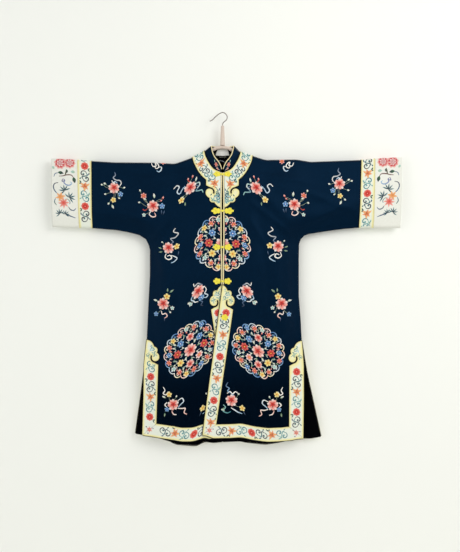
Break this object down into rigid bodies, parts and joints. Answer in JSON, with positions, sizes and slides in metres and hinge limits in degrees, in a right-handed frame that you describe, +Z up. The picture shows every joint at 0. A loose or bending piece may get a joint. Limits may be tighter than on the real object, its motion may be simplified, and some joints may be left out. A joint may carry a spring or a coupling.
{
  "type": "changshan robe on a hanger",
  "caption": "Long embroidered navy satin robe with a front opening, frog fastenings, ruyi borders and ivory cuffs, hung flat on a padded hanger.",
  "frame": {"origin": "inside the top of the hanger's hook, where a peg or rail holds it", "axes": "+Z up; the front of the robe faces -Y; +X along the sleeves, to the viewer's right"},
  "size_m": [1.31, 0.0587, 1.2539],
  "materials": {
    "navy_satin": "dark navy silk satin",
    "ribbon": "ivory woven ribbon with coloured flowers and scrolls",
    "cuff_satin": "ivory silk satin, embroidered",
    "cream_piping": "cream satin piping",
    "yellow_cord": "bright yellow satin cord",
    "label": "plain white tape",
    "hanger_pad": "wrapped satin tape over padding",
    "hook_wire": "dull steel wire"
  },
  "bodies": {
    "root": {"back_left": "navy_satin", "back_right": "navy_satin", "collar": "navy_satin", "collar_piping": "cream_piping", "cuff_left": "cuff_satin", "cuff_right": "cuff_satin", "frog_1_left": "yellow_cord", "frog_1_right": "yellow_cord", "frog_2_left": "yellow_cord", "frog_2_right": "yellow_cord", "frog_3_left": "yellow_cord", "frog_3_right": "yellow_cord", "frog_4_left": "yellow_cord", "frog_4_right": "yellow_cord", "frog_5_right": "yellow_cord", "front_border_left": "ribbon", "front_border_right": "ribbon", "front_left": "navy_satin", "front_piping_left": "cream_piping", "front_piping_right": "cream_piping", "front_right": "navy_satin", "hanger_arms": "hanger_pad", "hanger_hook": "hook_wire", "hanger_stem": "hanger_pad", "hem_border_back_left": "ribbon", "hem_border_back_right": "ribbon", "hem_border_left": "ribbon", "hem_border_right": "ribbon", "knot_1": "yellow_cord", "knot_2": "yellow_cord", "knot_3": "yellow_cord", "knot_4": "yellow_cord", "label": "label", "neck_border_back_left": "ribbon", "neck_border_back_right": "ribbon", "neck_border_left": "ribbon", "neck_border_right": "ribbon", "side_border_back_left": "ribbon", "side_border_back_right": "ribbon", "side_border_left": "ribbon", "side_border_right": "ribbon", "sleeve_band_left": "ribbon", "sleeve_band_right": "ribbon"}
  },
  "joints": []
}
